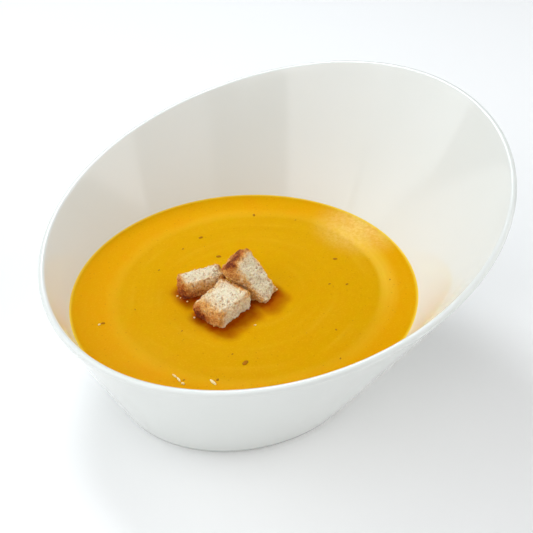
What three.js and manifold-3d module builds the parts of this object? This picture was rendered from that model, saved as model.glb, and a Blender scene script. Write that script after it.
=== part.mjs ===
// A slanted porcelain bowl of squash soup with three bread croutons.
// Millimetres, +Z up. X runs along the bowl's slant, from the low side of the rim to the high side,
// and Y across it. The origin lies on the table, under the middle of the whole bowl.

import * as THREE from 'three';
import { mergeVertices } from 'three/addons/utils/BufferGeometryUtils.js';
import Module from 'manifold-3d';

// ---- Bowl: driving dimensions ----
const FOOT_LENGTH = 118; // foot along the slant
const FOOT_WIDTH = 102.6; // foot across the slant
const FLARE_LENGTH = 0.48; // growth of the half-length for each mm of height
const FLARE_WIDTH = 0.569; // growth of the half-width for each mm of height
const LEAN = 0.047; // drift of the middle towards the high side for each mm of height
const WALL = 2.9; // wall thickness, square to the wall
const RIM_HEIGHT = 80.7; // height of the rim's plane over the middle of the foot
const RIM_TILT = THREE.MathUtils.degToRad(13.4); // slope of the rim's plane
const RIM_SWAY = 1.0; // the rim rises this much at both ends and sinks as much at the sides
const RIM_LILT = 0.7; // a second, threefold wave in the rim

const FOOT_EDGE = 1.2; // rounding where the wall meets the foot's rest face
const FOOT_RING = 5; // width of the flat ring the bowl rests on
const RECESS_DEPTH = 2; // hollow of the underside inside that ring
const RECESS_SLOPE = 2; // run of the recess's sloping side
const FLOOR_HEIGHT = 7; // inner floor over the table
const FLOOR_CORNER = 18; // size of the soft corner between inner floor and wall

// ---- Contents: driving dimensions ----
const SOUP_LEVEL = 44.1; // soup surface over the table
const GAP = 0.3; // air left between pieces that touch

// Croutons: size along their own x, y, z; place of their middle from the foot's middle, with its
// height counted from the soup; turn as yaw, pitch and roll in degrees; how much they narrow:
// height along y, width along x, height along x; and the radius of their worn edges.
const CROUTONS = [
  {
    name: 'crouton_front',
    size: [20.9, 15.8, 12.4],
    place: [-14.2, -6.4, 2.6],
    turn: [17.8, -0.9, 6.3],
    narrow: [-0.17, 0.04, 0.03],
    rounding: 2.6,
    seed: 3,
  },
  {
    name: 'crouton_left',
    size: [20.3, 8.5, 14.1],
    place: [-14.1, 10.8, 2.7],
    turn: [-13.3, 0.1, 4.9],
    narrow: [-0.02, 0.03, 0.02],
    rounding: 1.9,
    seed: 11,
  },
  {
    name: 'crouton_back',
    size: [23.6, 12.0, 10.3],
    place: [2.9, -1.9, 6.7],
    turn: [-58.4, 50.1, 7.9],
    narrow: [0.02, -0.13, 0.01],
    rounding: 1.7,
    seed: 27,
  },
];
const CRUMB_GRID = 1.45; // mesh spacing on a crouton
const CRAG_DEPTH = 0.65; // height of the torn crumb's relief
const CRAG_SIZE = 3.4; // width of one crag
const PORE_DEPTH = 0.7; // depth of the larger pores
const PORE_SIZE = 2.1; // their spacing
const PORE_SHARE = 0.35; // how rarely a pore opens, from 0 to 1
const EDGE_WEAR = 0.9; // extra relief where edges have crumbled

// ---- Mesh resolution ----
const ROUND_STEPS = 80;
const WALL_STEPS = 4;
const LIP_STEPS = 6;
const CORNER_STEPS = 5;
const EDGE_STEPS = 3;

const COLOURS = { porcelain: 0xf3f2ee, soup: 0xdf9f10, bread: 0xe3c79c };

// ---- The bowl's wall, as a slanted cone with oval sections ----

/** Height of the top of the rim at angle a, where 0 is the high side. */
function rimHeight(a) {
  const slope = Math.tan(RIM_TILT);
  const wave = RIM_SWAY * Math.cos(2 * a) + RIM_LILT * Math.cos(3 * a);
  const level = RIM_HEIGHT + slope * (FOOT_LENGTH / 2) * Math.cos(a) + wave;
  return level / (1 - slope * (LEAN + FLARE_LENGTH * Math.cos(a)));
}

/** Point of the outer wall at height z and angle a, its outward normal and its upward direction. */
function wallAt(z, a) {
  const halfLength = FOOT_LENGTH / 2 + FLARE_LENGTH * z;
  const halfWidth = FOOT_WIDTH / 2 + FLARE_WIDTH * z;
  const x = LEAN * z + halfLength * Math.cos(a);
  const point = new THREE.Vector3(x, halfWidth * Math.sin(a), z);
  const along = new THREE.Vector3(-halfLength * Math.sin(a), halfWidth * Math.cos(a), 0);
  const up = new THREE.Vector3(LEAN + FLARE_LENGTH * Math.cos(a), FLARE_WIDTH * Math.sin(a), 1);
  const normal = new THREE.Vector3().crossVectors(along, up).normalize();
  return { point, normal, up: up.normalize() };
}

/** Point at a depth inside the outer wall, at the height z of that point itself. */
function insideWall(z, a, depth) {
  const lift = wallAt(z, a).normal.z * depth;
  const { point, normal } = wallAt(z + lift, a);
  return point.addScaledVector(normal, -depth);
}

/** One closed ring of points, from a function of the angle. */
function ring(pointAt) {
  return Array.from({ length: ROUND_STEPS }, (_, i) => pointAt((2 * Math.PI * i) / ROUND_STEPS));
}

/** The hollow of the bowl at a depth inside the outer wall, as rings from a height down to the floor. */
function hollowRings(depth, floor, topAt) {
  const rings = [];
  for (let i = 0; i <= WALL_STEPS; i++) {
    const share = i / WALL_STEPS;
    rings.push(ring((a) => {
      const top = topAt(a);
      return insideWall(top + (floor + FLOOR_CORNER - top) * share, a, depth);
    }));
  }
  for (let i = 1; i <= CORNER_STEPS; i++) {
    const share = i / CORNER_STEPS;
    rings.push(ring((a) => {
      const high = insideWall(floor + FLOOR_CORNER, a, depth);
      const corner = insideWall(floor, a, depth);
      const reach = FLOOR_CORNER / Math.hypot(corner.x, corner.y);
      const flat = new THREE.Vector3(corner.x * (1 - reach), corner.y * (1 - reach), floor);
      return new THREE.QuadraticBezierCurve3(high, corner, flat).getPoint(share);
    }));
  }
  return rings;
}

/** Skins a row of rings and closes it with a pole at either end. */
function skin(startPole, rings, endPole) {
  const points = [startPole, ...rings.flat(), endPole];
  const last = points.length - 1;
  const faces = [];
  const at = (row, column) => 1 + row * ROUND_STEPS + (column % ROUND_STEPS);
  for (let column = 0; column < ROUND_STEPS; column++) {
    faces.push(0, at(0, column + 1), at(0, column));
    for (let row = 0; row + 1 < rings.length; row++) {
      const [a, b] = [at(row, column), at(row, column + 1)];
      const [c, d] = [at(row + 1, column + 1), at(row + 1, column)];
      faces.push(a, b, c, a, c, d);
    }
    faces.push(at(rings.length - 1, column), at(rings.length - 1, column + 1), last);
  }
  const geometry = new THREE.BufferGeometry().setFromPoints(points);
  geometry.setIndex(faces);
  return geometry;
}

/** The underside and foot: recess, rest ring and the rounded outer edge, from the middle outwards. */
function footRings() {
  const shrunk = (inset, z) => ring((a) => {
    const { point } = wallAt(0, a);
    const share = 1 - inset / Math.hypot(point.x, point.y);
    return new THREE.Vector3(point.x * share, point.y * share, z);
  });
  const rings = [
    shrunk(FOOT_EDGE + FOOT_RING + RECESS_SLOPE, RECESS_DEPTH),
    shrunk(FOOT_EDGE + FOOT_RING, 0),
  ];
  for (let i = 0; i < EDGE_STEPS; i++) {
    const turn = (Math.PI / 2) * (i / EDGE_STEPS);
    rings.push(shrunk(FOOT_EDGE * (1 - Math.sin(turn)), FOOT_EDGE * (1 - Math.cos(turn))));
  }
  return rings;
}

/** The outer wall from the foot's edge to the lip, then the round lip itself. */
function outsideRings() {
  const half = WALL / 2;
  const lipBase = (a) => {
    const top = rimHeight(a);
    const { normal, up } = wallAt(top, a);
    return top + half * (normal.z - up.z);
  };
  const rings = [];
  for (let i = 0; i < WALL_STEPS; i++) {
    const share = i / WALL_STEPS;
    rings.push(ring((a) => wallAt(FOOT_EDGE + (lipBase(a) - FOOT_EDGE) * share, a).point));
  }
  for (let i = 0; i < LIP_STEPS; i++) {
    const turn = Math.PI * (i / LIP_STEPS);
    rings.push(ring((a) => {
      const { point, normal, up } = wallAt(lipBase(a), a);
      point.addScaledVector(normal, half * (Math.cos(turn) - 1));
      return point.addScaledVector(up, half * Math.sin(turn));
    }));
  }
  return rings;
}

function bowlGeometry() {
  const lipInside = (a) => {
    const top = rimHeight(a);
    const { normal, up } = wallAt(top, a);
    return top - (WALL / 2) * (normal.z + up.z);
  };
  const rings = [
    ...footRings(),
    ...outsideRings(),
    ...hollowRings(WALL, FLOOR_HEIGHT, lipInside),
  ];
  const underside = new THREE.Vector3(0, 0, RECESS_DEPTH);
  const floor = new THREE.Vector3(0, 0, FLOOR_HEIGHT);
  return skin(underside, rings, floor);
}

function fullSoupGeometry() {
  const floor = FLOOR_HEIGHT + GAP;
  const rings = hollowRings(WALL + GAP, floor, () => SOUP_LEVEL).reverse();
  return skin(new THREE.Vector3(0, 0, floor), rings, new THREE.Vector3(0, 0, SOUP_LEVEL));
}

// ---- Croutons: rounded, tapered blocks of bread with a torn, porous surface ----

/** A repeatable number from -1 to 1 for a lattice cell. */
function cellValue(x, y, z, seed) {
  const wave = Math.sin(x * 127.1 + y * 311.7 + z * 74.7 + seed * 53.3) * 43758.5453;
  return 2 * (wave - Math.floor(wave)) - 1;
}

/** Smooth noise from -1 to 1: cell values blended between the corners of their lattice. */
function noise(point, size, seed) {
  const scaled = point.clone().divideScalar(size);
  const cell = scaled.clone().floor();
  const t = scaled.sub(cell);
  const soften = (v) => v * v * (3 - 2 * v);
  let sum = 0;
  for (const dx of [0, 1]) {
    for (const dy of [0, 1]) {
      for (const dz of [0, 1]) {
        const wx = dx ? soften(t.x) : 1 - soften(t.x);
        const wy = dy ? soften(t.y) : 1 - soften(t.y);
        const wz = dz ? soften(t.z) : 1 - soften(t.z);
        sum += wx * wy * wz * cellValue(cell.x + dx, cell.y + dy, cell.z + dz, seed);
      }
    }
  }
  return sum;
}

/** A crouton in its own frame; grow swells it evenly, for the pocket that it leaves in the soup. */
function croutonGeometry({ size, narrow, rounding, seed }, grow) {
  const steps = size.map((length) => Math.round(length / CRUMB_GRID));
  const box = new THREE.BoxGeometry(...size, ...steps);
  box.deleteAttribute('normal');
  box.deleteAttribute('uv');
  const geometry = mergeVertices(box);
  const core = new THREE.Vector3(...size).divideScalar(2).subScalar(rounding);
  const position = geometry.getAttribute('position');
  const point = new THREE.Vector3();
  for (let i = 0; i < position.count; i++) {
    point.fromBufferAttribute(position, i);
    const kept = point.clone().clamp(core.clone().negate(), core);
    const outward = point.clone().sub(kept);
    const nearEdge = outward.length() > rounding * 1.1 ? 1 : 0;
    outward.normalize();
    const crag = CRAG_DEPTH * noise(point, CRAG_SIZE, seed);
    const pore = PORE_DEPTH * Math.max(0, noise(point, PORE_SIZE, seed + 1) - PORE_SHARE);
    const wear = EDGE_WEAR * nearEdge * Math.max(0, noise(point, CRAG_SIZE, seed + 2));
    point.copy(kept).addScaledVector(outward, rounding + grow + crag - pore - wear);
    const [shareX, shareY] = [(2 * point.x) / size[0], (2 * point.y) / size[1]];
    point.y *= 1 + narrow[1] * shareX;
    point.z *= (1 + narrow[0] * shareY) * (1 + narrow[2] * shareX);
    position.setXYZ(i, point.x, point.y, point.z);
  }
  return geometry;
}

/** Puts a mesh where its crouton lies in the soup. */
function placeCrouton(mesh, { place, turn }) {
  mesh.position.set(place[0], place[1], SOUP_LEVEL + place[2]);
  const [yaw, pitch, roll] = turn.map(THREE.MathUtils.degToRad);
  mesh.rotation.set(roll, pitch, yaw, 'ZYX');
  mesh.updateMatrix();
  return mesh;
}

// ---- Cutting the croutons' pockets out of the soup ----
const manifold = await Module();
manifold.setup();

function toSolid(geometry) {
  const merged = mergeVertices(geometry);
  const vertProperties = new Float32Array(merged.getAttribute('position').array);
  const triVerts = new Uint32Array(merged.getIndex().array);
  return new manifold.Manifold(new manifold.Mesh({ numProp: 3, vertProperties, triVerts }));
}

function toGeometry(solid) {
  const { vertProperties, triVerts } = solid.getMesh();
  const geometry = new THREE.BufferGeometry();
  geometry.setAttribute('position', new THREE.BufferAttribute(vertProperties, 3));
  geometry.setIndex(new THREE.BufferAttribute(triVerts, 1));
  return geometry;
}

function soupGeometry() {
  let soup = toSolid(fullSoupGeometry());
  for (const crouton of CROUTONS) {
    const pocket = placeCrouton(new THREE.Mesh(croutonGeometry(crouton, GAP)), crouton);
    soup = soup.subtract(toSolid(pocket.geometry.applyMatrix4(pocket.matrix)));
  }
  return toGeometry(soup);
}

// ---- The whole bowl of soup ----
function material(color, roughness) {
  return new THREE.MeshStandardMaterial({ color, roughness, metalness: 0 });
}

function named(name, geometry, finish) {
  const mesh = new THREE.Mesh(geometry, finish);
  mesh.name = name;
  return mesh;
}

const bowl = named('bowl', bowlGeometry(), material(COLOURS.porcelain, 0.12));
const soup = named('soup', soupGeometry(), material(COLOURS.soup, 0.3));
const croutons = CROUTONS.map((crouton) => {
  const mesh = named(crouton.name, croutonGeometry(crouton, 0), material(COLOURS.bread, 0.9));
  return placeCrouton(mesh, crouton);
});

const bowlOfSoup = new THREE.Group();
bowlOfSoup.add(bowl, soup, ...croutons);
bowl.geometry.computeBoundingBox();
bowlOfSoup.position.x = -bowl.geometry.boundingBox.getCenter(new THREE.Vector3()).x;

export default bowlOfSoup;
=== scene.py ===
"""Looks for a bowl of squash soup: glazed slanted bowl, smooth soup, toasted bread cubes.

Sizes are in mm from the middle of the bowl's foot, and become metres in the finished
meshes. X runs along the slant to the high side of the rim, Y across it, Z up.
"""

import copy
import logging
import math
from dataclasses import asdict, dataclass, fields
from enum import Enum
from typing import Any

import bmesh
import bpy
import numpy as np
from bpy.types import Material, Mesh, Node, NodeSocket, NodeTree, Object
from mathutils import Euler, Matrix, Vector


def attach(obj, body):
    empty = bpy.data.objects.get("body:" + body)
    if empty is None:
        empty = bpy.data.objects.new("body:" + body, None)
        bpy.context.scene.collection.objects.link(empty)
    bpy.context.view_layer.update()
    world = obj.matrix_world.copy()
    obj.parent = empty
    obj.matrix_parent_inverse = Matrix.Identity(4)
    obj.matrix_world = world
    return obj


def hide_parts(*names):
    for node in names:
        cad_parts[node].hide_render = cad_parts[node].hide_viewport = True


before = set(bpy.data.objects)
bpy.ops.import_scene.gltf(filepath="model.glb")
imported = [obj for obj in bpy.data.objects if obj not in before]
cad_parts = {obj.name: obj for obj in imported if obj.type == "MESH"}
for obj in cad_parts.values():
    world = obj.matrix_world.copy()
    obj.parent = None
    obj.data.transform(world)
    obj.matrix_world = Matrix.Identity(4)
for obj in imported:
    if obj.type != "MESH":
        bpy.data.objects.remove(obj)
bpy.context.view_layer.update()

Pair = tuple[float, float]
Place = tuple[float, float, float]
MM = 0.001
FOOT_CENTRE = (-15.918, 0.0, 0.0)  # the foot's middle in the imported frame, in mm
SOUP_LEVEL = 44.1  # height of the soup over the table, in mm
GAP = 0.3  # air between the solids, in mm
WELD = 0.01  # points of a skin that are closer than this become one, in mm
SEED_WAY = (31.7, -17.3, 11.9)  # how far a seed of 1 moves the noise along, in mm
VIEW_TURN = 34.95  # degrees from Y towards X in which the photographer looks
BOWL_MIDDLE = (0.0, 0.0, 0.05)  # what the lamps face, in metres
log = logging.getLogger("squash_soup")


# ---- Small helpers ----


def paint(hex_colour: str) -> tuple[float, float, float, float]:
    """Turns an sRGB colour, six hex digits after a #, into linear red, green, blue and alpha."""
    parts = [int(hex_colour[i:i + 2], 16) / 255 for i in (1, 3, 5)]
    return *(p / 12.92 if p <= 0.04045 else ((p + 0.055) / 1.055) ** 2.4 for p in parts), 1.0


def add_node(
    tree: NodeTree,
    kind: str,
    settings: dict[str, Any] | None = None,
    inputs: dict[int | str, Any] | None = None,
) -> Node:
    """Adds one node with its settings and its input values or links.

    Args:
        tree: The node tree it goes into.
        kind: Blender's name for the node type.
        settings: Node properties by name.
        inputs: Values, sockets or Terms by input name or number.

    Returns:
        The new node.
    """
    node = tree.nodes.new(kind)
    for name, value in (settings or {}).items():
        setattr(node, name, value)
    for key, value in (inputs or {}).items():
        source = value.socket if isinstance(value, Term) else value
        if isinstance(source, NodeSocket):
            tree.links.new(source, node.inputs[key])
        else:
            node.inputs[key].default_value = source
    return node


class Term:
    """A number in a node tree, so that a formula in nodes reads as it does on paper."""

    def __init__(self, tree: NodeTree, socket: NodeSocket) -> None:
        """Keeps the tree and the socket that gives the number."""
        self.tree, self.socket = tree, socket

    def work(self, operation: str, *others: Any) -> "Term":
        """Adds a maths node whose first operand is this number, and gives its result."""
        settings, operands = {"operation": operation}, dict(enumerate((self, *others)))
        return Term(self.tree, add_node(self.tree, "ShaderNodeMath", settings, operands).outputs[0])

    def __add__(self, other: Any) -> "Term":
        """Sum."""
        return self.work("ADD", other)

    def __sub__(self, other: Any) -> "Term":
        """Difference."""
        return self.work("SUBTRACT", other)

    def __rsub__(self, other: Any) -> "Term":
        """Difference from a plain number."""
        return self.work("MULTIPLY_ADD", -1.0, other)

    def __mul__(self, other: Any) -> "Term":
        """Product."""
        return self.work("MULTIPLY", other)

    def __truediv__(self, other: Any) -> "Term":
        """Quotient."""
        return self.work("DIVIDE", other)

    def __pow__(self, power: float) -> "Term":
        """Power."""
        return self.work("POWER", power)

    __radd__, __rmul__ = __add__, __mul__

    def ease(self, start: float, end: float) -> "Term":
        """A soft step.

        Args:
            start: Where the result is 0.
            end: Where the result is 1, above or below start.

        Returns:
            A number that goes smoothly from 0 to 1.
        """
        settings = {"interpolation_type": "SMOOTHSTEP"}
        inputs = {"Value": self, "From Min": start, "From Max": end}
        node = add_node(self.tree, "ShaderNodeMapRange", settings, inputs)
        return Term(self.tree, node.outputs["Result"])


@dataclass
class Grain:
    """Noise in real millimetres, for shapes and for materials alike."""

    tree: NodeTree
    place: NodeSocket  # a place in mm

    def cloud(self, size: float, detail: float = 2.0, roughness: float = 0.5) -> Term:
        """Soft noise from 0 to 1, in patches of a size in mm, with layers of finer detail."""
        inputs = {"Vector": self.place, "Scale": 1 / size, "Detail": detail, "Roughness": roughness}
        return Term(self.tree, add_node(self.tree, "ShaderNodeTexNoise", {}, inputs).outputs[0])

    def cells(self, size: float) -> tuple[Term, Term]:
        """Cells such as pores or specks.

        Args:
            size: Mean spacing of the cells in mm.

        Returns:
            Distance to the nearest middle in cell widths, and a random number for each cell.
        """
        inputs = {"Vector": self.place, "Scale": 1 / size}
        node = add_node(self.tree, "ShaderNodeTexVoronoi", {}, inputs)
        split = add_node(self.tree, "ShaderNodeSeparateXYZ", {}, {0: node.outputs["Color"]})
        return Term(self.tree, node.outputs["Distance"]), Term(self.tree, split.outputs[0])

    def torn(self, size: float, reach: float) -> "Grain":
        """The same grain with its places pushed about, so that cells lose their round outlines.

        Args:
            size: Width of one push in mm.
            reach: How far places are pushed, in mm.

        Returns:
            The new grain.
        """
        inputs = {"Vector": self.place, "Scale": 1 / size, "Detail": 1.0}
        push = add_node(self.tree, "ShaderNodeTexNoise", {}, inputs).outputs["Color"]
        inputs = {0: push, 1: (2 * reach,) * 3, 2: self.place}
        moved = add_node(self.tree, "ShaderNodeVectorMath", {"operation": "MULTIPLY_ADD"}, inputs)
        return Grain(self.tree, moved.outputs[0])


class ShapeTree:
    """A Geometry Nodes tree with named inputs for its sizes, whose result is a plain mesh."""

    def __init__(self, name: str, sizes: dict[str, Any]) -> None:
        """Makes the tree and its inputs.

        Args:
            name: Name of the node group.
            sizes: Numbers and objects by name, which become inputs of the tree.
        """
        self.tree = bpy.data.node_groups.new(name, "GeometryNodeTree")
        self.sizes = sizes
        add_socket = self.tree.interface.new_socket
        add_socket("Geometry", in_out="INPUT", socket_type="NodeSocketGeometry")
        add_socket("Geometry", in_out="OUTPUT", socket_type="NodeSocketGeometry")
        for size, value in sizes.items():
            kind = "Object" if isinstance(value, Object) else "Float"
            add_socket(size, in_out="INPUT", socket_type=f"NodeSocket{kind}")
        self.inlet = add_node(self.tree, "NodeGroupInput")
        self.geometry = self.inlet.outputs["Geometry"]

    def size(self, name: str) -> Term:
        """One of the tree's named inputs."""
        return Term(self.tree, self.inlet.outputs[name])

    def step(self, kind: str, settings: dict[str, Any] | None = None, **inputs: Any) -> None:
        """Sends the geometry through one more node, whose other inputs are given by name."""
        node = add_node(self.tree, kind, settings, {0: self.geometry, **inputs})
        self.geometry = node.outputs[0]

    def branch(self, geometry: NodeSocket) -> "ShapeTree":
        """The same tree at work on other geometry."""
        other = copy.copy(self)
        other.geometry = geometry
        return other

    def join(self, *parts: NodeSocket) -> None:
        """Adds more geometry to this."""
        node = add_node(self.tree, "GeometryNodeJoinGeometry")
        for part in (*parts, self.geometry):
            self.tree.links.new(part, node.inputs[0])
        self.geometry = node.outputs[0]

    def read(self, name: str) -> Term:
        """A number kept on the mesh's points."""
        node = add_node(self.tree, "GeometryNodeInputNamedAttribute", {}, {"Name": name})
        return Term(self.tree, node.outputs["Attribute"])

    def distance(self) -> Term:
        """Distance of whichever point asks from this geometry's surface, in mm."""
        settings = {"target_element": "FACES"}
        node = add_node(self.tree, "GeometryNodeProximity", settings, {0: self.geometry})
        return Term(self.tree, node.outputs["Distance"]) / MM

    def keep(self, name: str, value: Term) -> None:
        """Stores a number on the mesh's points, for a later step or the material."""
        self.step("GeometryNodeStoreNamedAttribute", Name=name, Value=value)

    def grain(self, seed: float = 0.0) -> Grain:
        """Noise that follows the points' places.

        Args:
            seed: Moves the noise along, so that no two pieces match.

        Returns:
            The noise.
        """
        place = add_node(self.tree, "GeometryNodeInputPosition").outputs[0]
        scaled = {0: place, 1: (1 / MM,) * 3, 2: tuple(seed * part for part in SEED_WAY)}
        settings = {"operation": "MULTIPLY_ADD"}
        node = add_node(self.tree, "ShaderNodeVectorMath", settings, scaled)
        return Grain(self.tree, node.outputs[0])

    def vector(self, x: Any, y: Any, z: Any) -> NodeSocket:
        """Joins three numbers to a vector."""
        return add_node(self.tree, "ShaderNodeCombineXYZ", {}, {0: x, 1: y, 2: z}).outputs[0]

    def move_to(self, x: Term, y: Term, z: Term) -> None:
        """Puts each point at a place in mm from the foot's middle."""
        offset = tuple(part * MM for part in FOOT_CENTRE)
        place = self.vector(x * MM, y * MM, z * MM)
        self.step("GeometryNodeSetPosition", Position=place, Offset=offset)

    def push(self, distance: Term) -> None:
        """Moves each point outwards, square to the surface, by a distance in mm."""
        outwards = add_node(self.tree, "GeometryNodeInputNormal").outputs[0]
        scaled = {0: outwards, "Scale": distance * MM}
        node = add_node(self.tree, "ShaderNodeVectorMath", {"operation": "SCALE"}, scaled)
        self.step("GeometryNodeSetPosition", Offset=node.outputs[0])

    def close(self, material: Material) -> None:
        """Ends the tree with smooth shading, real instances and the material."""
        self.step("GeometryNodeRealizeInstances")
        self.step("GeometryNodeSetShadeSmooth")
        self.step("GeometryNodeSetMaterial", Material=material)
        add_node(self.tree, "NodeGroupOutput", {}, {0: self.geometry})

    def shape(self, piece: Object) -> Object:
        """Runs the tree on an object and leaves the result as its plain mesh.

        Args:
            piece: The object whose mesh the tree starts from.

        Returns:
            The same object, without modifiers.
        """
        modifier = piece.modifiers.new("Shape", "NODES")
        modifier.node_group = self.tree
        for item in self.tree.interface.items_tree:
            if item.name in self.sizes:
                modifier[item.identifier] = self.sizes[item.name]
        return bake_modifiers(piece)


def bake_modifiers(piece: Object) -> Object:
    """Replaces an object's mesh by what its modifiers make of it.

    Args:
        piece: The object.

    Returns:
        The same object, without modifiers.
    """
    depsgraph = bpy.context.evaluated_depsgraph_get()
    made = bpy.data.meshes.new_from_object(
        piece.evaluated_get(depsgraph), preserve_all_data_layers=True, depsgraph=depsgraph
    )
    piece.modifiers.clear()
    made.name = piece.name
    piece.data = made
    return piece


def new_piece(name: str, data: Any) -> Object:
    """Links a new object with that mesh, lamp or camera to the scene."""
    piece = bpy.data.objects.new(name, data)
    bpy.context.scene.collection.objects.link(piece)
    return piece


def store(mesh: Mesh, name: str, values: Any) -> None:
    """Keeps one number for each of a mesh's points."""
    mesh.attributes.new(name, "FLOAT", "POINT").data.foreach_set("value", np.array(values, "f"))


def hand_over(piece: Object, slot: str, *nodes: str) -> None:
    """Hangs a finished piece on the root, hides the solids that it replaces and logs its triangles.

    Args:
        piece: The finished piece.
        slot: Not used.
        nodes: The solids that it replaces, if any.
    """
    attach(piece, "root")
    if nodes:
        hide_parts(*nodes)
    triangles = sum(len(face.vertices) - 2 for face in piece.data.polygons)
    log.info("%s: %d triangles", piece.name, triangles)


# ---- Finishes ----


class Mixture:
    """A material under way, patterned in real millimetres."""

    def __init__(self, name: str) -> None:
        """Starts the material.

        Args:
            name: The real material's name.
        """
        self.material = bpy.data.materials.new(name)
        self.material.use_nodes = True
        self.tree = self.material.node_tree
        self.tree.nodes.clear()
        place = add_node(self.tree, "ShaderNodeTexCoord").outputs["Object"]
        scaled = {0: place, 1: (1 / MM,) * 3}
        node = add_node(self.tree, "ShaderNodeVectorMath", {"operation": "MULTIPLY"}, scaled)
        self.grain = Grain(self.tree, node.outputs[0])

    def read(self, name: str) -> Term:
        """A number kept on the mesh's points."""
        node = add_node(self.tree, "ShaderNodeAttribute", {"attribute_name": name})
        return Term(self.tree, node.outputs["Fac"])

    def height(self) -> Term:
        """Height over the table in mm."""
        split = add_node(self.tree, "ShaderNodeSeparateXYZ", {}, {0: self.grain.place})
        return Term(self.tree, split.outputs[2])

    def away_from(self, x: float, y: float, z: float) -> Term:
        """Distance in mm from a place counted from the foot's middle."""
        place = (x + FOOT_CENTRE[0], y, z)
        inputs = {0: self.grain.place, 1: place}
        node = add_node(self.tree, "ShaderNodeVectorMath", {"operation": "DISTANCE"}, inputs)
        return Term(self.tree, node.outputs["Value"])

    def streaks(self, way: Term) -> Grain:
        """Grain that varies only with one number, such as the way from the middle."""
        place = add_node(self.tree, "ShaderNodeCombineXYZ", {}, {0: way}).outputs[0]
        return Grain(self.tree, place)

    def blend(self, share: Any, first: Any, second: Any) -> NodeSocket:
        """Mixes two colours.

        Args:
            share: 0 for the first colour, 1 for the second.
            first: An sRGB hex colour or a colour socket.
            second: An sRGB hex colour or a colour socket.

        Returns:
            The mixed colour.
        """
        first, second = (paint(c) if isinstance(c, str) else c for c in (first, second))
        inputs = {0: share, 6: first, 7: second}
        return add_node(self.tree, "ShaderNodeMix", {"data_type": "RGBA"}, inputs).outputs[2]

    def relief(self, height: Term, depth: float) -> NodeSocket:
        """Relief too fine for the mesh, from a height of 0 to 1 and what 1 stands for in mm."""
        inputs = {"Distance": depth * MM, "Height": height}
        return add_node(self.tree, "ShaderNodeBump", {}, inputs).outputs[0]

    def finish(self, inputs: dict[str, Any]) -> Material:
        """Adds the surface shader.

        Args:
            inputs: The shader's values and links.

        Returns:
            The finished material.
        """
        shader = add_node(self.tree, "ShaderNodeBsdfPrincipled", {}, inputs)
        add_node(self.tree, "ShaderNodeOutputMaterial", {}, {"Surface": shader.outputs[0]})
        return self.material


@dataclass(frozen=True)
class GlazedPorcelain:
    """Glazed hard porcelain: a white body under a clear glaze, with a bare foot ring."""

    # Cast, dipped in clear glaze and fired: the eye sees an even white under sharp reflections,
    # which waver because the glaze is a few hundredths of a millimetre uneven. The foot ring is
    # wiped bare before firing, so it is matt and a little warmer.
    body: str = "#E8EAE7"
    shade: str = "#E5E8E4"
    bare_clay: str = "#E4DED2"
    drift: float = 30.0  # width of a drift in tone, in mm
    waves: Pair = (14.0, 2.2)  # widths of the glaze's long and short waves, in mm
    wave_depth: float = 0.05
    glaze_roughness: float = 0.12
    clay_roughness: float = 0.5  # on top of the glaze's

    def mix(self) -> Material:
        """Builds the material."""
        mixture = Mixture("glazed_porcelain")
        grain, bare = mixture.grain, mixture.read("bare")
        tone = mixture.blend(grain.cloud(self.drift, 1.0), self.body, self.shade)
        waver = grain.cloud(self.waves[0], 1.0) * 0.8 + grain.cloud(self.waves[1]) * 0.2
        return mixture.finish({
            "Base Color": mixture.blend(bare, tone, self.bare_clay),
            "Roughness": bare * self.clay_roughness + self.glaze_roughness,
            "IOR": 1.52,
            "Normal": mixture.relief(waver, self.wave_depth),
        })


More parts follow.
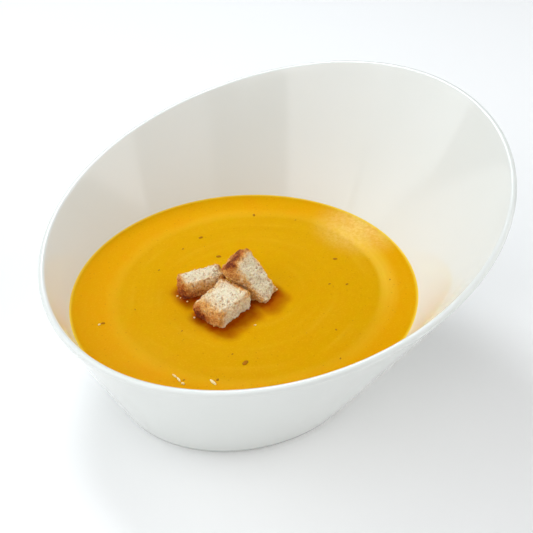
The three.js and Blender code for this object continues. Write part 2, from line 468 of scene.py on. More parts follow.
@dataclass(frozen=True)
class SquashPuree:
    """Smooth squash soup with cream: light goes a few millimetres in and comes out golden."""

    # Boiled squash, blended with cream and stirred: wet and dense, so the eye sees one deep gold
    # with soft shades and hardly any shine, and faint rings that the spoon left. A paler ring and a
    # patch are painted sheen, and a bright line at the wall is partly a painted highlight.
    golden: str = "#E0A802"
    deep: str = "#D39700"
    band: str = "#E2A000"
    pale: str = "#F4C63A"
    # Painted sheen: the pale cream of the patch where the soup shines.
    milky: str = "#FFDC84"
    # Partly a thin film over the white wall, partly a painted highlight along it.
    shallow: str = "#FFD24A"
    fleck: str = "#A8680C"
    # Painted shadow: the dark red-brown laid beside the bread.
    toasty: str = "#982400"
    # Sizes and places are in mm, and ways are shares of the way from the middle to the wall.
    clouds: float = 26.0
    pulp: float = 2.4
    flecks: float = 1.5  # spacing
    fibre: float = 0.8  # real fibre is 0.1 to 0.2 wide, too fine to show, so it is drawn coarser
    foam: float = 1.6
    fine_rings: float = 70.0  # how many there are from the middle to the wall
    broad_rings: float = 16.0
    ring_waver: float = 0.05
    band_way: Pair = (0.74, 0.84)  # where the golden band starts and is full
    ring_way: tuple[float, ...] = (0.735, 0.775, 0.87)  # start, peak and end of the ring of painted sheen
    ring_spot: Pair = (64.0, -14.0)  # where it shows most
    ring_reach: Pair = (48.0, 10.0)
    creamy_spot: Pair = (73.0, 8.0)
    creamy_reach: float = 26.0
    wall_line: float = 1.4  # width of the thin bright edge: partly thin film, partly painted highlight
    light_depth: float = 2.2
    ripple_depth: float = 0.03

    def mix(self) -> Material:
        """Builds the material."""
        mixture = Mixture("squash_puree")
        grain = mixture.grain
        # Stirring left fine rings and a more golden band outside one paler ring; that paler ring is
        # painted sheen.
        way = mixture.read("way") + (grain.cloud(40.0, 1.0) - 0.5) * self.ring_waver
        turns = way * self.fine_rings + grain.cloud(8.0, 1.0) * 0.8
        streak = mixture.streaks(turns).cloud(1.0, 2.0)
        mottle = grain.cloud(self.clouds) * 0.3 + grain.cloud(self.pulp, 3.0) * 0.4 + streak * 0.3
        colour = mixture.blend(mottle, self.golden, self.deep)
        colour = mixture.blend(way.ease(*self.band_way), colour, self.band)
        arcs = mixture.streaks(way * self.broad_rings + grain.cloud(30.0, 1.0)).cloud(1.0, 1.0)
        arcs = arcs.ease(0.4, 0.8) * grain.cloud(24.0, 1.0).ease(0.35, 0.65)
        colour = mixture.blend(arcs * 0.16, colour, self.pale)
        # Painted sheen: the paler ring, strongest near one spot.
        near = mixture.away_from(*self.ring_spot, SOUP_LEVEL).ease(*self.ring_reach) * 0.8 + 0.2
        start, peak, end = self.ring_way
        ring = way.ease(start, peak) * way.ease(end, peak) * near
        colour = mixture.blend(ring * (streak * 0.5 + 0.35), colour, self.pale)
        # The puree is full of fine fibre and a few darker flecks.
        spacing, chance = grain.cells(self.flecks)
        fleck = spacing.ease(0.30, 0.14) * chance.ease(0.8, 0.95) * 0.3
        colour = mixture.blend(fleck, colour, self.fleck)
        colour = mixture.blend(grain.cloud(self.fibre).ease(0.5, 0.75) * 0.18, colour, self.pale)
        # Painted sheen: a paler, mottled patch in one place, where light shines off the soup. At
        # the wall the soup thins to a bright line, partly its thin film and partly a painted
        # highlight.
        sheen_mottle = grain.cloud(self.foam, 3.0, 0.6).ease(0.35, 0.65) * 0.3 + 0.3
        patch = mixture.away_from(*self.creamy_spot, SOUP_LEVEL).ease(self.creamy_reach, 2.0)
        colour = mixture.blend(patch * sheen_mottle, colour, self.milky)
        # Painted highlight, partly a real thin film: a bright line where the soup meets the wall.
        thin_and_glint = mixture.read("from_wall").ease(self.wall_line, 0.3)
        colour = mixture.blend(thin_and_glint * 0.8, colour, self.shallow)
        # Painted shadow: beside the bread the gold turns dark red-brown, all round and further out
        # on the side away from the key lamp, a little unevenly.
        stain = mixture.read("stain") * (grain.cloud(3.0, 2.0) * 0.4 + 0.8)
        return mixture.finish({
            "Base Color": mixture.blend(stain * 0.95, colour, self.toasty),
            "Roughness": 0.28,
            "IOR": 1.36,
            "Specular IOR Level": 0.02,
            "Subsurface Weight": 1.0 - thin_and_glint * 0.8,
            "Subsurface Radius": (1.0, 0.42, 0.05),  # red light goes furthest, blue hardly in
            "Subsurface Scale": self.light_depth * MM,
            "Normal": mixture.relief(grain.cloud(0.9, 3.0), self.ripple_depth),
        })


@dataclass(frozen=True)
class ToastedCrumb:
    """Oven-toasted white bread: dry open crumb, pale inside and browned where heat caught it."""

    # Cut in cubes and toasted, so the eye sees rough crumb without any shine, full of pores, with
    # golden patches, brown edges and dark crusts. The finest real pores are a tenth of a
    # millimetre wide and wouldn't show, so the smallest here are drawn 0.55 mm apart.
    crumb: str = "#FFF0D3"
    golden: str = "#F2B866"
    brown: str = "#C66E26"
    dark: str = "#7C3010"
    # Painted shade: the colour inside pores.
    hollow: str = "#C48A54"
    soaked: str = "#A85E14"
    patches: Pair = (2.2, 0.6)  # widths of browned patches and spots, in mm
    pores: float = 0.55  # their spacing, in mm
    grit: float = 0.35  # width and depth of the crumb's roughness, in mm
    wet_height: float = 1.2  # how high over the soup the bread is wet, in mm
    light_depth: float = 0.6

    def mix(self) -> Material:
        """Builds the material."""
        mixture = Mixture("toasted_crumb")
        grain, toast = mixture.grain, mixture.read("toast")
        patch, spot = self.patches
        patchy = (grain.cloud(patch, 3.0, 0.65) - 0.5) * 1.1 + (grain.cloud(spot) - 0.5) * 0.7
        heat = toast + patchy * (toast * 1.6 + 0.22).work("MINIMUM", 1.0)
        ramp = add_node(mixture.tree, "ShaderNodeValToRGB", {}, {"Fac": heat})
        stops = ((0.0, self.crumb), (0.35, self.golden), (0.7, self.brown), (1.0, self.dark))
        while len(ramp.color_ramp.elements) < len(stops):
            ramp.color_ramp.elements.new(0.5)
        for element, (place, colour) in zip(ramp.color_ramp.elements, stops):
            element.position, element.color = place, paint(colour)
        # Pores are darkened inside as painted shade; small ones show as darker dots between the
        # larger ones, which are in the mesh.
        spacing, chance = grain.torn(0.5, 0.35).cells(self.pores)
        dots = spacing.ease(0.5, 0.2) * chance.ease(0.3, 0.6)
        pore_shading = (mixture.read("hollow") * 0.5 + dots * 0.5).work("MINIMUM", 0.85)
        pore_shade_colour = mixture.blend(toast.ease(0.3, 0.9), self.hollow, self.dark)
        colour = mixture.blend(pore_shading, ramp.outputs["Color"], pore_shade_colour)
        wet = mixture.height().ease(SOUP_LEVEL + self.wet_height, SOUP_LEVEL - 0.2)
        return mixture.finish({
            "Base Color": mixture.blend(wet * 0.7, colour, self.soaked),
            "Roughness": 0.85,
            "IOR": 1.45,
            "Subsurface Weight": 0.5,
            "Subsurface Radius": (1.0, 0.75, 0.5),
            "Subsurface Scale": self.light_depth * MM,
            "Normal": mixture.relief(grain.cloud(self.grit, 3.0, 0.7) - dots * 0.6, self.grit),
        })


@dataclass(frozen=True)
class WetSeasoning:
    """Scraps of squash skin and pepper, brown and wet with soup."""

    # Chopped and ground, then wet through, so the eye sees small brown marks with a dull shine.
    light: str = "#C27C0E"
    dark: str = "#9A5A0C"
    patches: float = 0.4  # width of a darker patch, in mm

    def mix(self) -> Material:
        """Builds the material."""
        mixture = Mixture("wet_seasoning")
        colour = mixture.blend(mixture.grain.cloud(self.patches), self.light, self.dark)
        look = {"Roughness": 0.5, "IOR": 1.35, "Specular IOR Level": 0.1}
        return mixture.finish({"Base Color": colour, **look})


@dataclass(frozen=True)
class SoftCrumb:
    """Soft white crumb that floats, pale with a little soup soaked in."""

    # Torn from untoasted bread, so the eye sees pale, soft bits, yellower where they are soaked.
    pale: str = "#FBEFC8"
    soaked: str = "#F0CC6C"
    patches: float = 0.7  # width of a soaked patch, in mm

    def mix(self) -> Material:
        """Builds the material."""
        mixture = Mixture("soft_crumb")
        soak = mixture.grain.cloud(self.patches).ease(0.4, 0.65)
        colour = mixture.blend(soak, self.pale, self.soaked)
        return mixture.finish({"Base Color": colour, "Roughness": 0.6, "IOR": 1.4})


@dataclass(frozen=True)
class StudioPaper:
    """White studio paper, matt, without any texture at this distance."""

    # Pressed smooth from fine pulp, so the eye sees an even white that fades into the light.
    white: str = "#FCFCFC"

    def mix(self) -> Material:
        """Builds the material."""
        mixture = Mixture("studio_paper")
        return mixture.finish({"Base Color": paint(self.white), "Roughness": 0.9})


# ---- The slanted wall, which the soup's body follows too ----


@dataclass(frozen=True)
class Station:
    """One ring of the section, from which the wall's rule works out a whole ring of points.

    A ring lies on the wall between a base height and the lip, or blends from there to a level
    inside the wall, as at the rounded corner of the floor.
    """

    rise: float = 0.0  # share of the way from the base to the lip
    base: float = 0.0  # height at which the rise starts
    side: float = 1.0  # 1 for the outer end of the lip's round, -1 for its inner end
    depth: float = 0.0  # depth inside the outer wall
    settle: float = 0.0  # 1 if the height is the inner point's own
    climb: float = 0.0  # way up along the wall
    bend: float = 0.0  # 0 on the wall, 1 at the level
    level: float = 0.0  # height of the level
    pull: float = 0.0  # way towards the middle
    spread: float = 1.0  # 0 in the middle, 1 at full width
    lift: float = 0.0  # way straight up
    bare: float = 0.0  # 1 where no glaze is
    open: float = 0.0  # 1 on the soup's free surface


@dataclass
class SlantedWall:
    """The slanted, flared wall with oval sections, as a rule that shapes a skin."""

    foot_length: float = 118.0
    foot_width: float = 102.6
    flare_length: float = 0.48
    flare_width: float = 0.569
    lean: float = 0.047
    wall: float = 2.9
    rim_height: float = 80.7
    rim_slope: float = math.tan(math.radians(13.4))
    rim_sway: float = 1.0
    rim_lilt: float = 0.7

    def skin(self, name: str, stations: list[Station], columns: int) -> Mesh:
        """A closed skin of one ring of points for each station, not yet in shape.

        Args:
            name: The mesh's name.
            stations: The rings, from a pole of no width to another.
            columns: Points in each ring.

        Returns:
            The mesh, with each station's numbers on its points.
        """
        rows = len(stations)
        faces = [
            (row * columns + i, row * columns + j, (row + 1) * columns + j, (row + 1) * columns + i)
            for row in range(rows - 1)
            for i, j in ((i, (i + 1) % columns) for i in range(columns))
        ]
        mesh = bpy.data.meshes.new(name)
        mesh.from_pydata([(0.0, 0.0, 0.0)] * (rows * columns), [], faces)
        store(mesh, "turn", np.tile(np.arange(columns) * math.tau / columns, rows))
        for part in fields(Station):
            store(mesh, part.name, np.repeat([getattr(s, part.name) for s in stations], columns))
        return mesh

    def tree(self, name: str, **extra: Any) -> ShapeTree:
        """A new tree whose inputs are this wall's sizes and some more."""
        return ShapeTree(name, {**asdict(self), **extra})

    def at(self, tree: ShapeTree, height: Any, cos: Term, sin: Term) -> dict[str, Term]:
        """The outer wall at a height and an angle.

        Args:
            tree: The tree with the wall's sizes.
            height: Height over the table.
            cos: Cosine of the angle from the high side.
            sin: Sine of it.

        Returns:
            The point x, y, z, its outward normal nx, ny, nz and its upward way ux, uy, uz.
        """
        half_length = tree.size("foot_length") * 0.5 + tree.size("flare_length") * height
        half_width = tree.size("foot_width") * 0.5 + tree.size("flare_width") * height
        ux = tree.size("lean") + tree.size("flare_length") * cos
        uy = tree.size("flare_width") * sin
        nx, ny = half_width * cos, half_length * sin
        nz = (nx * ux + ny * uy) * -1.0
        tall, wide = ux * ux + uy * uy + 1.0, nx * nx + ny * ny + nz * nz
        up, out = tall ** -0.5, wide ** -0.5
        return {
            "x": tree.size("lean") * height + half_length * cos, "y": half_width * sin,
            "z": half_width * 0.0 + height,
            "nx": nx * out, "ny": ny * out, "nz": nz * out, "ux": ux * up, "uy": uy * up, "uz": up,
        }

    def rim(self, tree: ShapeTree, cos: Term, turn: Term) -> Term:
        """Height of the top of the rim.

        Args:
            tree: The tree with the wall's sizes.
            cos: Cosine of the angle from the high side.
            turn: That angle.

        Returns:
            The height over the table.
        """
        slope = tree.size("rim_slope")
        sway = tree.size("rim_sway") * (turn * 2.0).work("COSINE")
        lilt = tree.size("rim_lilt") * (turn * 3.0).work("COSINE")
        level = tree.size("rim_height") + slope * tree.size("foot_length") * 0.5 * cos
        return (level + sway + lilt) / (
            1.0 - slope * (tree.size("lean") + tree.size("flare_length") * cos)
        )

    def places(self, tree: ShapeTree) -> tuple[Term, Term, Term, Term]:
        """The whole rule, for the points of a skin.

        Args:
            tree: The tree with the wall's sizes, whose geometry is a skin.

        Returns:
            x, y and z of each point, and its share of the way from the middle to the wall.
        """
        turn, depth, settle = tree.read("turn"), tree.read("depth"), tree.read("settle")
        cos, sin = turn.work("COSINE"), turn.work("SINE")
        half = tree.size("wall") * 0.5
        top = self.rim(tree, cos, turn)
        edge = self.at(tree, top, cos, sin)
        lip = top + half * (tree.read("side") * edge["nz"] - edge["uz"])
        base, bend, climb = tree.read("base"), tree.read("bend"), tree.read("climb")

        def inside(height: Term) -> list[Term]:
            """The point at that height, at the station's depth inside the outer wall."""
            height = height + self.at(tree, height, cos, sin)["nz"] * depth * settle
            wall = self.at(tree, height, cos, sin)
            return [wall[a] - wall["n" + a] * depth + wall["u" + a] * climb for a in "xyz"]

        high = inside(base + tree.read("rise") * (lip - base))
        low = inside(tree.read("level"))
        reach = (low[0] * low[0] + low[1] * low[1]) ** 0.5
        spread, pull = tree.read("spread"), tree.read("pull")
        x, y, z = (h + (l - h) * bend for h, l in zip(high, low))
        x, y = ((p - l / reach * pull) * spread for p, l in zip((x, y), low))
        return x, y, z + tree.read("lift"), (1.0 - pull / reach) * spread


def steps(count: int, start: float = 0.0, end: float = 1.0) -> list[float]:
    """Evenly spaced numbers from start to end, count steps apart, both ends included."""
    return [start + (end - start) * i / count for i in range(count + 1)]


@dataclass
class SlantedBowl:
    """The bowl: recessed foot, straight flared wall, rounded lip and smooth hollow."""

    wall: SlantedWall
    foot_edge: float = 1.2  # radius of the foot's rounded edge
    foot_turn: float = 75.0  # degrees that the edge turns up to the wall
    foot_ring: float = 5.0
    recess_depth: float = 2.0
    recess_slope: float = 2.0
    floor: float = 7.0
    corner: float = 18.0
    columns: int = 256

    def stations(self) -> list[Station]:
        """The section, from the middle of the underside over the lip to the middle inside."""
        thick, edge, ring = self.wall.wall, self.foot_edge, self.foot_edge + self.foot_ring
        recess = ring + self.recess_slope
        rings = [Station(bend=1, pull=recess, spread=s, lift=self.recess_depth) for s in steps(8)]
        for s in steps(5)[1:]:
            drop = self.recess_depth * (1 + math.cos(math.pi * s)) / 2
            rings.append(Station(bend=1, pull=recess - self.recess_slope * s, lift=drop))
        rings += [Station(bend=1, pull=ring - self.foot_ring * s, bare=1) for s in steps(4)[1:]]
        for s in steps(6, 0.0, math.radians(self.foot_turn))[1:]:
            pull, lift = edge * (1 - math.sin(s)), edge * (1 - math.cos(s))
            rings.append(Station(bend=1, pull=pull, lift=lift))
        rings += [Station(rise=s, base=edge) for s in steps(30)]
        for s in steps(18, 0.0, math.pi)[1:]:
            depth, climb = thick / 2 * (1 - math.cos(s)), thick / 2 * math.sin(s)
            rings.append(Station(rise=1, depth=depth, climb=climb, base=edge))
        base = self.floor + self.corner
        inside = {"base": base, "side": -1, "depth": thick, "settle": 1, "level": self.floor}
        rings += [Station(rise=s, **inside) for s in steps(30, 1.0, 0.0)[1:]]
        for s in steps(14)[1:]:
            rings.append(Station(bend=1 - (1 - s) ** 2, pull=self.corner * s * s, **inside))
        rings += [
            Station(bend=1, pull=self.corner, spread=s, **inside) for s in steps(14, 1.0, 0.0)[1:]
        ]
        return rings

    def build(self, glaze: Material) -> None:
        """Builds the bowl.

        Args:
            glaze: The glazed porcelain.
        """
        tree = self.wall.tree("slanted_bowl_shape")
        x, y, z, _ = self.wall.places(tree)
        tree.move_to(x, y, z)
        tree.step("GeometryNodeMergeByDistance", Distance=WELD * MM)
        tree.close(glaze)
        skin = self.wall.skin("porcelain_bowl", self.stations(), self.columns)
        hand_over(tree.shape(new_piece("porcelain_bowl", skin)), "porcelain", "bowl")


# ---- Toasted bread cubes ----


@dataclass(frozen=True)
class Scorch:
    """A browned patch on a bread cube, in shares of the cube's half-sizes."""

    middle: Place
    reach: Place
    strength: float


@dataclass
class BreadCube:
    """One crouton: the solid's own form with a torn, porous crumb and browned ends."""

    node: str
    size: Place
    place: Place  # from the foot's middle, with z over the soup
    turn: Place  # yaw, pitch and roll in degrees
    seed: float
    scorches: tuple[Scorch, ...]
    crag_depth: float = 2.2
    crumble_depth: float = 1.9
    pore_depth: float = 0.5
    pit_depth: float = 0.4
    crag_size: float = 4.0
    crumble_size: float = 1.1
    pore_spacing: float = 2.2
    pit_spacing: float = 1.0
    edge_start: float = 0.65  # share of the way out to a face where an edge starts to brown
    edge_toast: Pair = (0.2, 0.35)  # how brown edges and corners get

    def dense_copy(self) -> Object:
        """A finely meshed copy of the solid, under a name of its own."""
        work = bmesh.new()
        work.from_mesh(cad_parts[self.node].data)
        bmesh.ops.remove_doubles(work, verts=work.verts, dist=0.5 * WELD * MM)
        flat = 0.7  # radians up to which two triangles become one face
        bmesh.ops.join_triangles(
            work, faces=work.faces, angle_face_threshold=flat, angle_shape_threshold=flat
        )
        mesh = bpy.data.meshes.new(f"bread_{self.node}")
        work.to_mesh(mesh)
        work.free()
        piece = new_piece(mesh.name, mesh)
        modifier = piece.modifiers.new("Fine", "SUBSURF")
        modifier.levels = modifier.render_levels = 3
        return bake_modifiers(piece)

    def browning(self, mesh: Mesh) -> np.ndarray:
        """How much each point of the crouton is browned.

        Args:
            mesh: The crouton in its place.

        Returns:
            One number for each point, 0 for white crumb and 1 for dark crust.
        """
        points = np.empty(len(mesh.vertices) * 3)
        mesh.vertices.foreach_get("co", points)
        place = Vector(self.place) + Vector(FOOT_CENTRE) + Vector((0, 0, SOUP_LEVEL))
        yaw, pitch, roll = (math.radians(t) for t in self.turn)
        turn = np.array(Euler((roll, pitch, yaw), "XYZ").to_matrix())
        own = (points.reshape(-1, 3) / MM - np.array(place)) @ turn / (np.array(self.size) / 2)
        out = (np.sort(np.abs(own), axis=1).T - self.edge_start) / (1.0 - self.edge_start)
        corner, edge, _ = np.clip(out, 0.0, 1.0)
        toast = self.edge_toast[0] * edge ** 2 + self.edge_toast[1] * corner
        for scorch in self.scorches:
            away = (own - np.array(scorch.middle)) / np.array(scorch.reach)
            toast += scorch.strength * np.exp(-np.sum(away ** 2, axis=1))
        return toast

    def build(self, crumb: Material) -> Object:
        """Builds the crouton.

        Args:
            crumb: The toasted crumb.

        Returns:
            The finished piece.
        """
        piece = self.dense_copy()
        store(piece.data, "toast", self.browning(piece.data))
        kinds = ("crag_depth", "crumble_depth", "pore_depth", "pit_depth")
        tree = ShapeTree("torn_crumb_shape", {kind: getattr(self, kind) for kind in kinds})
        grain = tree.grain(self.seed)
        crag = grain.cloud(self.crag_size) - 0.45
        crumble = grain.cloud(self.crumble_size, 3.0, 0.65) - 0.5
        # Pores and pits are pushed about, so that none is round.
        spacing, chance = grain.torn(1.3, 0.9).cells(self.pore_spacing)
        pore = spacing.ease(0.42, 0.16) * chance.ease(0.35, 0.5)
        spacing, chance = grain.torn(0.8, 0.6).cells(self.pit_spacing)
        pit = spacing.ease(0.52, 0.2) * chance.ease(0.1, 0.4)
        # Painted shade: where pores and pits are, for the material to darken.
        tree.keep("hollow", (pore + pit * 0.7).work("MINIMUM", 1.0))
        tree.push(
            crag * tree.size("crag_depth")
            + crumble * tree.size("crumble_depth")
            - pore * tree.size("pore_depth")
            - pit * tree.size("pit_depth")
        )
        tree.close(crumb)
        tree.shape(piece)
        hand_over(piece, "bread", self.node)
        return piece


# ---- Soup ----


@dataclass
class SoupPool:
    """The soup: stirred, slightly rippled, and drawn up where it wets the wall and the bread."""

    bowl: SlantedBowl
    wall_climb: float = 0.45  # how high it is drawn up at the wall
    wall_reach: float = 1.1  # how far from the wall that shows
    bread_climb: float = 0.5
    bread_reach: float = 0.7
    wall_overlap: float = 0.12  # how far its edge reaches into the wall, so that no gap shows
    near_wall: float = 5.5  # from the wall to the last of the close rings of points
    inner_way: float = 60.0  # from there to the middle, roughly
    swirl: float = 0.03  # height of the rings that stirring left
    swirl_turns: float = 42.0  # radians of them from the middle to the wall
    swirl_waver: Pair = (34.0, 3.0)  # width in mm and size in radians
    swell: Pair = (9.0, 0.16)  # width and height of the surface's unevenness
    off_centre: Pair = (0.000492, -0.000344)  # how the rings shift, for each mm along X and Y
    soak_reach: float = 1.7  # how far from the bread the painted contact shade reaches all round
    seep: Place = (0.2, -5.4, -0.6)  # how far the painted shadow reaches to the side away from the key lamp
    seep_steps: int = 5
    seep_reach: float = 5.0
    seep_fade: float = 0.4
    columns: int = 256

    def stations(self) -> list[Station]:
        """The section, from the middle of the floor up the wall to the middle of the surface."""
        wall, corner = self.bowl.wall.wall, self.bowl.corner
        thick, low = wall + GAP, self.bowl.floor + GAP
        inside = {"base": low + corner, "depth": thick, "settle": 1, "level": low}
        rings = [Station(bend=1, pull=corner, spread=s, **inside) for s in steps(8)]
        for s in steps(8, 1.0, 0.0)[1:]:
            rings.append(Station(bend=1 - (1 - s) ** 2, pull=corner * s * s, **inside))
        for height in steps(4, low + corner, SOUP_LEVEL - 1.0)[1:]:
            rings.append(Station(**{**inside, "base": height}))
        ways = [0.0, 0.12, 0.25, 0.4, 0.6, 0.85, 1.15, 1.5, 2.0, 2.6, 3.4, 4.4, self.near_wall]
        top = {"depth": wall - self.wall_overlap, "settle": 1, "level": SOUP_LEVEL}
        for way in ways:
            height = SOUP_LEVEL + self.wall_climb * math.exp(-way / self.wall_reach)
            rings.append(Station(base=height, pull=way, open=(way / self.near_wall) ** 2, **top))
        near, fine = 0.34, 0.0055  # within a third of the way the rings are close together
        shares = steps(52, 1.0, near)[1:] + steps(round(near / fine), near, 0.0)[1:]
        top.update(base=SOUP_LEVEL, pull=self.near_wall, open=1)
        return rings + [Station(spread=s, **top) for s in shares]

    def build(self, puree: Material, bread: list[Object]) -> None:
        """Builds the soup.

        Args:
            puree: The squash puree.
            bread: The croutons that lie in it.
        """
        climbs = {"bread_climb": self.bread_climb, "swirl": self.swirl}
        tree = self.bowl.wall.tree("soup_shape", **climbs, **{cube.name: cube for cube in bread})
        x, y, z, share = self.bowl.wall.places(tree)
        tree.move_to(x, y, z)
        free = tree.read("open")
        tree.keep("way", share - (x * self.off_centre[0] + y * self.off_centre[1]))
        inner = (1.0 - tree.read("spread")) * self.inner_way
        tree.keep("from_wall", tree.read("pull") + inner)
        cubes = [
            add_node(tree.tree, "GeometryNodeObjectInfo", {}, {0: tree.size(cube.name)})
            for cube in bread
        ]
        group = tree.branch(cubes[0].outputs["Geometry"])
        group.join(*(cube.outputs["Geometry"] for cube in cubes[1:]))
        gap = group.distance()
        wetting = (gap * (-1 / self.bread_reach)).work("EXPONENT") * tree.size("bread_climb")
        # Painted shadow: dark all round the bread, and further out on the side away from the key
        # lamp; kept on the points for the material.
        stain = gap.ease(self.soak_reach, 0.0)
        way = tuple(part * MM / self.seep_steps for part in self.seep)
        for far in steps(self.seep_steps)[1:]:
            group.step("GeometryNodeTransform", Translation=way)
            shifted_shadow = group.distance().ease(self.seep_reach, 0.0) * (1.0 - self.seep_fade * far)
            stain = stain.work("MAXIMUM", shifted_shadow)
        tree.keep("stain", stain)
        grain, (width, size), (swell, rise) = tree.grain(), self.swirl_waver, self.swell
        turns = share * self.swirl_turns + tree.read("turn") + grain.cloud(width, 1.0) * size
        ring = turns.work("SINE") * tree.size("swirl")
        stirred = ring * share.ease(0.35, 0.6) + (grain.cloud(swell) - 0.5) * rise
        up = (wetting + stirred) * free * MM
        tree.step("GeometryNodeSetPosition", Offset=tree.vector(0.0, 0.0, up))
        tree.step("GeometryNodeMergeByDistance", Distance=WELD * MM)
        tree.close(puree)
        skin = self.bowl.wall.skin("squash_soup", self.stations(), self.columns)
        hand_over(tree.shape(new_piece("squash_soup", skin)), "soup", "soup")


# ---- Small bits on the soup ----


class Cut(Enum):
    """How a kind of small bit is cut: its width and height as shares of its length."""

    FLAKE = (0.62, 0.3)
    CRUMB = (0.7, 0.6)
    SHRED = (0.3, 0.28)


@dataclass
class Sprinkle:
    """Small bits of one kind, some in set places and the rest scattered over the soup."""

    name: str
    slot: str
    cut: Cut
    placed: tuple[tuple[float, float, float, float], ...]  # x, y, length, turn in degrees
    density: float  # scattered bits for each square centimetre
    smallest: float
    largest: float
    seed: int
    rise: float  # height of a bit's middle over the soup
    lump: Pair = (0.5, 0.3)  # width and depth of the lumps on a bit
    reach: float = 66.0  # radius of the part of the soup that the loose bits float on
    shift: float = 1.0  # how far its middle lies from the foot's, along X

    def build(self, material: Material) -> None:
        """Builds the bits as one mesh.

        Args:
            material: What they are made of.
        """
        mesh = bpy.data.meshes.new(self.name)
        height = SOUP_LEVEL + self.rise
        spots = [((x + FOOT_CENTRE[0]) * MM, y * MM, height * MM) for x, y, _, _ in self.placed]
        mesh.from_pydata(spots, [], [])
        store(mesh, "length", [length * MM for _, _, length, _ in self.placed])
        store(mesh, "yaw", [math.radians(turn) for _, _, _, turn in self.placed])
        sizes = {"density": self.density, "smallest": self.smallest, "largest": self.largest}
        tree = ShapeTree(f"{self.name}_scatter", sizes)
        rim = {"Vertices": 64, "Radius": self.reach * MM}
        disc = add_node(tree.tree, "GeometryNodeMeshCircle", {"fill_type": "NGON"}, rim)
        loose = tree.branch(disc.outputs[0])
        per_square_metre = tree.size("density") * 1e4
        loose.step("GeometryNodeDistributePointsOnFaces", Density=per_square_metre, Seed=self.seed)
        length = ("length", tree.size("smallest") * MM, tree.size("largest") * MM)
        for name, low, high in (length, ("yaw", 0.0, math.tau)):
            inputs = {2: low, 3: high, "Seed": self.seed + 7}  # not the seed of the places
            draw = add_node(tree.tree, "FunctionNodeRandomValue", {}, inputs)
            loose.keep(name, Term(tree.tree, draw.outputs[1]))
        middle = ((FOOT_CENTRE[0] + self.shift) * MM, 0.0, height * MM)
        loose.step("GeometryNodeTransform", Translation=middle)
        tree.step("GeometryNodeMeshToPoints")
        tree.join(loose.geometry)
        ball = {"Radius": 0.5, "Subdivisions": 3}
        bit = add_node(tree.tree, "GeometryNodeMeshIcoSphere", {}, ball)
        length = tree.read("length")
        width, thick = self.cut.value
        tree.step(
            "GeometryNodeInstanceOnPoints",
            Instance=bit.outputs[0],
            Rotation=tree.vector(0.0, 0.0, tree.read("yaw")),
            Scale=tree.vector(length, length * width, length * thick),
        )
        tree.step("GeometryNodeRealizeInstances")
        width, depth = self.lump
        tree.push((tree.grain(self.seed).cloud(width) - 0.5) * depth)
        tree.close(material)
        hand_over(tree.shape(new_piece(self.name, mesh)), self.slot)


# ---- Camera, floor and light ----


def from_photo(right: float, away: float, up: float) -> Vector:
    """A place given from the photographer's side, in metres from the foot's middle.

    Args:
        right: To the right.
        away: Away from the photographer.
        up: Over the table.

    Returns:
        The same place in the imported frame.
    """
    turn = math.radians(VIEW_TURN)
    x = right * math.cos(turn) + away * math.sin(turn)
    y = -right * math.sin(turn) + away * math.cos(turn)
    return Vector((x, y, up)) + Vector(FOOT_CENTRE) * MM


def hang(name: str, data: Any, aim: Place, bearing: float, tilt: float, far: float) -> Object:
    """Hangs a lamp or the camera so that it faces a place.

    Args:
        name: Its name.
        data: The lamp or the camera.
        aim: The place that it faces, from the photographer's side.
        bearing: Degrees from the photographer, to the right.
        tilt: Degrees over the table.
        far: Distance from that place in metres.

    Returns:
        The object that holds it.
    """
    holder, (right, away, up) = new_piece(name, data), aim
    bearing, tilt = math.radians(bearing), math.radians(tilt)
    near = far * math.cos(tilt)
    right, away = right + near * math.sin(bearing), away - near * math.cos(bearing)
    holder.location = from_photo(right, away, up + far * math.sin(tilt))
    look = from_photo(*aim) - holder.location
    holder.rotation_euler = look.to_track_quat("-Z", "Y").to_euler()
    return holder


@dataclass(frozen=True)
class Softbox:
    """One soft studio light that faces the bowl."""

    name: str
    bearing: float  # degrees from the photographer, to the right
    elevation: float  # degrees over the table
    width: float
    watts: float
    tint: str = "#FFFFFF"
    distance: float = 1.2

    def build(self) -> None:
        """Builds the light."""
        light = bpy.data.lights.new(self.name, "AREA")
        light.shape, light.size, light.energy = "SQUARE", self.width, self.watts
        light.color = paint(self.tint)[:3]
        hang(self.name, light, BOWL_MIDDLE, self.bearing, self.elevation, self.distance)


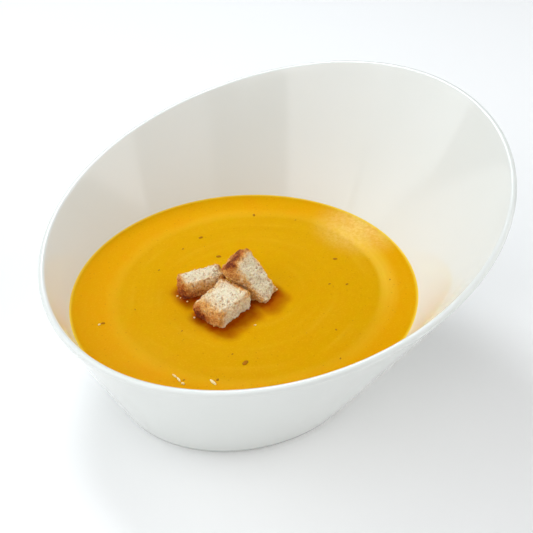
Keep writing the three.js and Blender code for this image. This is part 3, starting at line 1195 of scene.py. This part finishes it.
@dataclass
class PhotoStudio:
    """White paper, soft light from the upper left, and the camera of the photograph."""

    elevation: float = 37.64  # degrees over the horizon
    distance: float = 0.4299  # metres
    aim: Place = (0.01096, 0.0, 0.05772)
    lens: float = 67.54
    sensor: float = 36.0  # width in mm
    floor_radius: float = 6.0
    sky: float = 0.122
    softboxes: tuple[Softbox, ...] = (
        Softbox("key", 205, 55, 0.35, 5.7, "#F5FBFF"),
        Softbox("left", 270, 30, 0.9, 3.9, "#F5FBFF"),
        Softbox("front_left", 315, 25, 0.9, 4.0),
        Softbox("right", 90, 25, 0.95, 6.2),
        Softbox("front_right", 45, 25, 0.8, 1.6),
        Softbox("high_left", 270, 55, 0.8, 1.6, "#F5FBFF"),
        Softbox("high_front", 343, 55, 0.8, 2.1),
        Softbox("overhead", 0, 90, 0.8, 1.4, "#F5FBFF"),
    )

    def build(self) -> None:
        """Builds the studio."""
        scene = bpy.context.scene
        scene.view_settings.view_transform = "Standard"
        body = bpy.data.cameras.new("photo_camera")
        body.lens, body.sensor_width = self.lens, self.sensor
        body.clip_start, body.clip_end = 0.01, 50.0
        scene.camera = hang("photo_camera", body, self.aim, 0.0, self.elevation, self.distance)

        world = bpy.data.worlds.new("studio_room")
        scene.world = world
        world.use_nodes = True
        sky = world.node_tree.nodes["Background"]
        sky.inputs["Color"].default_value = (1.0, 1.0, 1.0, 1.0)
        sky.inputs["Strength"].default_value = self.sky
        for softbox in self.softboxes:
            softbox.build()

        work = bmesh.new()
        bmesh.ops.create_circle(work, cap_ends=True, segments=128, radius=self.floor_radius)
        sheet = bpy.data.meshes.new("studio_floor")
        work.to_mesh(sheet)
        work.free()
        sheet.materials.append(StudioPaper().mix())
        new_piece("studio_floor", sheet)


# ---- The whole bowl of soup ----


# The three croutons of the photograph, each with its browned patches.
CROUTONS = (
    BreadCube(
        "crouton_front", (20.9, 15.8, 12.4), (-14.2, -6.4, 2.6), (17.8, -0.9, 6.3), 3,
        (
            Scorch((-1.05, 0.75, -0.6), (0.32, 0.8, 1.2), 1.25),
            Scorch((-1.05, -0.6, 0.1), (0.25, 0.9, 1.0), 0.5),
            Scorch((-0.8, 0.4, 1.05), (0.4, 1.0, 0.3), 0.25),
            Scorch((0.95, -0.35, 1.05), (0.25, 0.45, 0.4), 0.45),
            Scorch((1.0, 0.3, 1.0), (0.25, 0.9, 0.35), 0.3),
            Scorch((-0.1, 1.0, 1.0), (1.1, 0.3, 0.35), 0.32),
        ),
    ),
    BreadCube(
        "crouton_left", (20.3, 8.5, 14.1), (-14.1, 10.8, 2.7), (-13.3, 0.1, 4.9), 11,
        (
            Scorch((-1.05, -0.2, -0.1), (0.28, 1.5, 1.3), 0.95),
            Scorch((0.0, -1.05, -0.2), (1.3, 0.35, 1.0), 0.55),
            Scorch((-0.8, -1.0, -0.3), (0.4, 0.4, 0.5), 0.25),
            Scorch((0.2, 1.0, 1.05), (1.2, 0.3, 0.3), 0.25),
            Scorch((1.05, 0.0, 0.1), (0.22, 1.5, 1.3), 0.7),
        ),
    ),
    BreadCube(
        "crouton_back", (23.6, 12.0, 10.3), (2.9, -1.9, 6.7), (-58.4, 50.1, 7.9), 27,
        (
            Scorch((-1.1, 0.0, 0.3), (0.2, 1.8, 1.5), 1.2),
            Scorch((-0.75, -1.08, -0.1), (0.45, 0.3, 1.3), 0.2),
            Scorch((0.2, -1.08, -0.1), (1.3, 0.3, 1.2), 0.5),
            Scorch((0.95, -0.9, -0.2), (0.3, 0.5, 0.8), 0.3),
            Scorch((1.05, 0.7, 0.6), (0.2, 0.6, 0.8), 0.4),
            Scorch((0.3, 1.05, 0.9), (1.0, 0.2, 0.4), 0.35),
        ),
    ),
)
# Bits where the photograph has them: x, y, length, and turn in degrees.
SPECKS = (
    (-24.2, -38.9, 3.1, 20), (48.0, -5.1, 2.2, -35), (6.5, 44.1, 2.2, 0), (-59.8, 15.5, 1.9, -30),
    (37.4, 45.1, 2.0, 60), (40.9, -22.7, 1.6, 10), (-38.6, -40.7, 1.5, 40), (34.7, -18.1, 1.4, 5),
    (18.2, -43.9, 1.2, 80), (8.7, -58.8, 1.1, 30), (-22.1, 33.7, 1.2, 15), (58.7, -31.0, 1.0, 50),
    (51.5, 30.2, 1.0, 0), (-25.6, -31.6, 1.0, 10), (-44.3, 15.7, 0.9, 70), (-5.0, 41.2, 1.4, 30),
    (5.4, 26.9, 2.4, -35), (-49.6, -33.2, 1.1, 0), (-35.1, -7.7, 1.0, 20),
)
# Some of these pale bits stand where small bubbles shine: painted highlights made as crumbs. The
# rest are real crumbs.
CRUMBS = (
    (-61.5, 15.5, 1.2, 0), (-51.0, -34.9, 1.5, -60), (-24.9, 12.9, 1.2, 30), (-23.3, 7.2, 0.9, 0),
    (-26.4, -3.6, 1.0, 80), (13.0, -8.2, 1.3, 20), (-8.1, -22.3, 1.0, -35), (-24.4, 11.0, 0.8, 10),
)
SHREDS = ((-51.5, -29.2, 2.6, -80), (-51.2, -32.0, 2.8, -95), (-40.9, -41.0, 3.8, -84))


def main() -> None:
    """Builds every piece in order, then the studio."""
    logging.basicConfig(level=logging.INFO, format="%(name)s: %(message)s")
    bowl = SlantedBowl(SlantedWall())
    bowl.build(GlazedPorcelain().mix())
    crumb, soft = ToastedCrumb().mix(), SoftCrumb().mix()
    bread = [cube.build(crumb) for cube in CROUTONS]
    SoupPool(bowl).build(SquashPuree().mix(), bread)
    specks = Sprinkle("seasoning", "soup", Cut.FLAKE, SPECKS, 0.3, 0.25, 0.5, 5, 0.0)
    specks.build(WetSeasoning().mix())
    Sprinkle("loose_crumbs", "bread", Cut.CRUMB, CRUMBS, 0.0, 0.4, 0.8, 9, 0.25).build(soft)
    Sprinkle("pale_shreds", "bread", Cut.SHRED, SHREDS, 0.0, 0.4, 0.8, 13, 0.2).build(soft)
    PhotoStudio().build()


if __name__ == "__main__":
    main()
